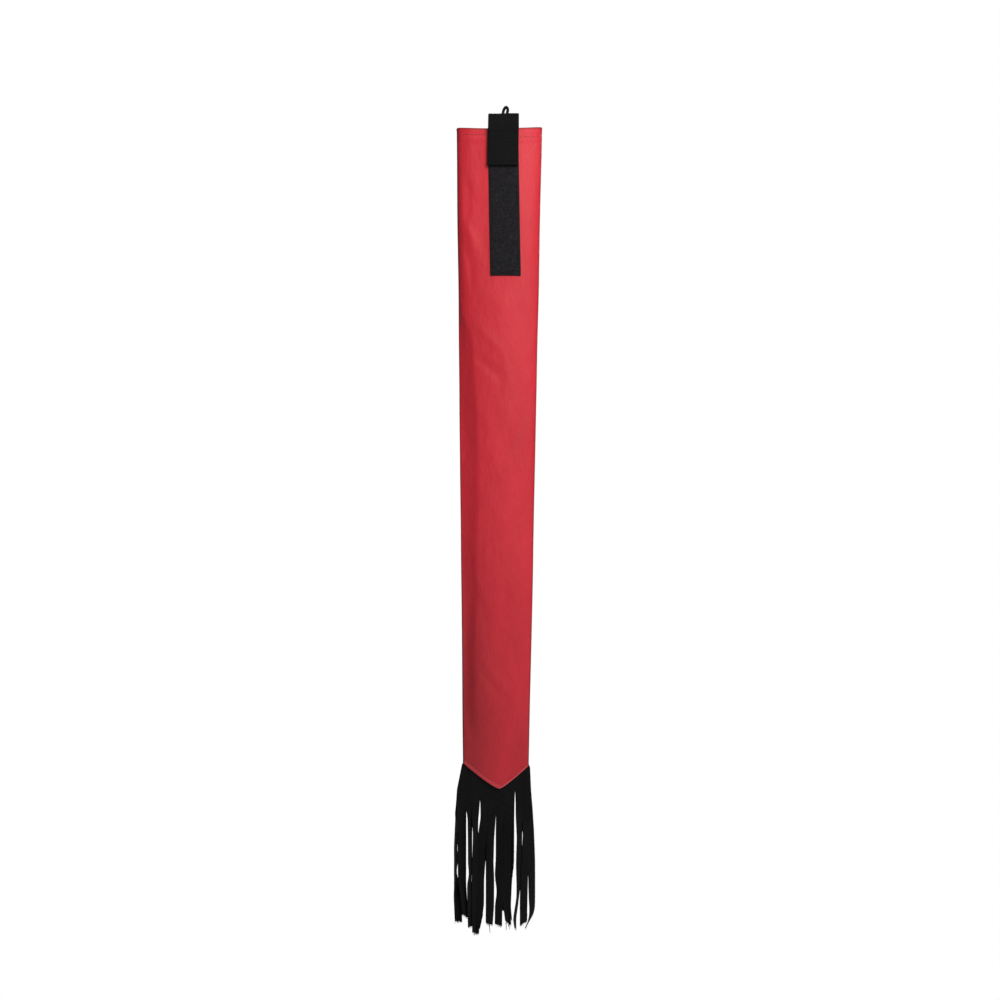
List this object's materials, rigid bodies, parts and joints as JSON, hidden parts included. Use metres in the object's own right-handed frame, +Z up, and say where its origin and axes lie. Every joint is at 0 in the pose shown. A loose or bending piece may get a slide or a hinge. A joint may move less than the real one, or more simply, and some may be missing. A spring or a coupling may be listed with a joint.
{
  "type": "horse tail bag",
  "caption": "Long fabric sleeve for a horse's tail, with a hook-and-loop strap over its mouth, a cord hang loop and a ribbon fringe below a V seam.",
  "frame": {"origin": "centre of the open mouth, level with its rim, with the bag hanging as in use", "axes": "+Z up along the hanging sleeve, -Y out of the front where the strap closes, +X to the viewer's right when the front is seen"},
  "size_m": [0.0745, 0.0274, 0.721],
  "materials": {
    "red_fabric": "soft satin sheen",
    "red_thread": "matte",
    "black_thread": "matte",
    "strap_webbing": "matte",
    "loop_pile": "fuzzy matte",
    "hook_plastic": "matte",
    "black_cord": "matte",
    "fringe_fabric": "matte"
  },
  "bodies": {
    "sleeve": {"front_panel": "red_fabric", "back_panel": "red_fabric", "front_mouth_hem": "red_fabric", "back_mouth_hem": "red_fabric", "mouth_hem_stitches": "red_thread", "left_seam_stitches": "red_thread", "right_seam_stitches": "red_thread", "loop_tape": "loop_pile", "loop_tape_stitches": "black_thread", "strap_root": "strap_webbing", "strap_root_stitches": "red_thread", "front_fringe_yoke": "fringe_fabric", "back_fringe_yoke": "fringe_fabric", "front_v_stitches": "red_thread", "back_v_stitches": "red_thread"},
    "bridge": {"strap_bridge": "strap_webbing", "hang_loop": "black_cord", "hang_loop_tack": "black_thread"},
    "flap": {"strap_flap": "strap_webbing", "hook_tape": "hook_plastic", "flap_stitches": "black_thread"},
    "front_ribbon_1": {"front_ribbon_1": "fringe_fabric"},
    "front_ribbon_2": {"front_ribbon_2": "fringe_fabric"},
    "front_ribbon_3": {"front_ribbon_3": "fringe_fabric"},
    "front_ribbon_4": {"front_ribbon_4": "fringe_fabric"},
    "front_ribbon_5": {"front_ribbon_5": "fringe_fabric"},
    "front_ribbon_6": {"front_ribbon_6": "fringe_fabric"},
    "front_ribbon_7": {"front_ribbon_7": "fringe_fabric"},
    "front_ribbon_8": {"front_ribbon_8": "fringe_fabric"},
    "front_ribbon_9": {"front_ribbon_9": "fringe_fabric"},
    "back_ribbon_1": {"back_ribbon_1": "fringe_fabric"},
    "back_ribbon_2": {"back_ribbon_2": "fringe_fabric"},
    "back_ribbon_3": {"back_ribbon_3": "fringe_fabric"},
    "back_ribbon_4": {"back_ribbon_4": "fringe_fabric"},
    "back_ribbon_5": {"back_ribbon_5": "fringe_fabric"},
    "back_ribbon_6": {"back_ribbon_6": "fringe_fabric"},
    "back_ribbon_7": {"back_ribbon_7": "fringe_fabric"},
    "back_ribbon_8": {"back_ribbon_8": "fringe_fabric"},
    "back_ribbon_9": {"back_ribbon_9": "fringe_fabric"}
  },
  "joints": [
    {"name": "bridge_swing", "type": "hinge", "parent": "sleeve", "child": "bridge", "pos_m": [0.003, 0.00775, 0.001], "axis": [-1, 0, 0], "range_deg": [0, 90]},
    {"name": "flap_peel", "type": "hinge", "parent": "bridge", "child": "flap", "pos_m": [0.003, -0.0144, 0.00036], "axis": [-1, 0, 0], "range_deg": [0, 120]},
    {"name": "ribbon_front_1_swing", "type": "hinge", "parent": "sleeve", "child": "front_ribbon_1", "pos_m": [-0.03304, -0.00125, -0.588], "axis": [-1, 0, 0], "range_deg": [0, 75]},
    {"name": "ribbon_front_2_swing", "type": "hinge", "parent": "sleeve", "child": "front_ribbon_2", "pos_m": [-0.02593, -0.00125, -0.588], "axis": [-1, 0, 0], "range_deg": [0, 75]},
    {"name": "ribbon_front_3_swing", "type": "hinge", "parent": "sleeve", "child": "front_ribbon_3", "pos_m": [-0.01882, -0.00125, -0.588], "axis": [-1, 0, 0], "range_deg": [0, 75]},
    {"name": "ribbon_front_4_swing", "type": "hinge", "parent": "sleeve", "child": "front_ribbon_4", "pos_m": [-0.01171, -0.00125, -0.588], "axis": [-1, 0, 0], "range_deg": [0, 75]},
    {"name": "ribbon_front_5_swing", "type": "hinge", "parent": "sleeve", "child": "front_ribbon_5", "pos_m": [-0.0046, -0.00125, -0.588], "axis": [-1, 0, 0], "range_deg": [0, 75]},
    {"name": "ribbon_front_6_swing", "type": "hinge", "parent": "sleeve", "child": "front_ribbon_6", "pos_m": [0.00251, -0.00125, -0.588], "axis": [-1, 0, 0], "range_deg": [0, 75]},
    {"name": "ribbon_front_7_swing", "type": "hinge", "parent": "sleeve", "child": "front_ribbon_7", "pos_m": [0.00962, -0.00125, -0.588], "axis": [-1, 0, 0], "range_deg": [0, 75]},
    {"name": "ribbon_front_8_swing", "type": "hinge", "parent": "sleeve", "child": "front_ribbon_8", "pos_m": [0.01673, -0.00125, -0.588], "axis": [-1, 0, 0], "range_deg": [0, 75]},
    {"name": "ribbon_front_9_swing", "type": "hinge", "parent": "sleeve", "child": "front_ribbon_9", "pos_m": [0.02384, -0.00125, -0.588], "axis": [-1, 0, 0], "range_deg": [0, 75]},
    {"name": "ribbon_back_1_swing", "type": "hinge", "parent": "sleeve", "child": "back_ribbon_1", "pos_m": [-0.03021, 0.00125, -0.588], "axis": [1, 0, 0], "range_deg": [0, 75]},
    {"name": "ribbon_back_2_swing", "type": "hinge", "parent": "sleeve", "child": "back_ribbon_2", "pos_m": [-0.02343, 0.00125, -0.588], "axis": [1, 0, 0], "range_deg": [0, 75]},
    {"name": "ribbon_back_3_swing", "type": "hinge", "parent": "sleeve", "child": "back_ribbon_3", "pos_m": [-0.01666, 0.00125, -0.588], "axis": [1, 0, 0], "range_deg": [0, 75]},
    {"name": "ribbon_back_4_swing", "type": "hinge", "parent": "sleeve", "child": "back_ribbon_4", "pos_m": [-0.00988, 0.00125, -0.588], "axis": [1, 0, 0], "range_deg": [0, 75]},
    {"name": "ribbon_back_5_swing", "type": "hinge", "parent": "sleeve", "child": "back_ribbon_5", "pos_m": [-0.0031, 0.00125, -0.588], "axis": [1, 0, 0], "range_deg": [0, 75]},
    {"name": "ribbon_back_6_swing", "type": "hinge", "parent": "sleeve", "child": "back_ribbon_6", "pos_m": [0.00368, 0.00125, -0.588], "axis": [1, 0, 0], "range_deg": [0, 75]},
    {"name": "ribbon_back_7_swing", "type": "hinge", "parent": "sleeve", "child": "back_ribbon_7", "pos_m": [0.01046, 0.00125, -0.588], "axis": [1, 0, 0], "range_deg": [0, 75]},
    {"name": "ribbon_back_8_swing", "type": "hinge", "parent": "sleeve", "child": "back_ribbon_8", "pos_m": [0.01723, 0.00125, -0.588], "axis": [1, 0, 0], "range_deg": [0, 75]},
    {"name": "ribbon_back_9_swing", "type": "hinge", "parent": "sleeve", "child": "back_ribbon_9", "pos_m": [0.02401, 0.00125, -0.588], "axis": [1, 0, 0], "range_deg": [0, 75]}
  ]
}
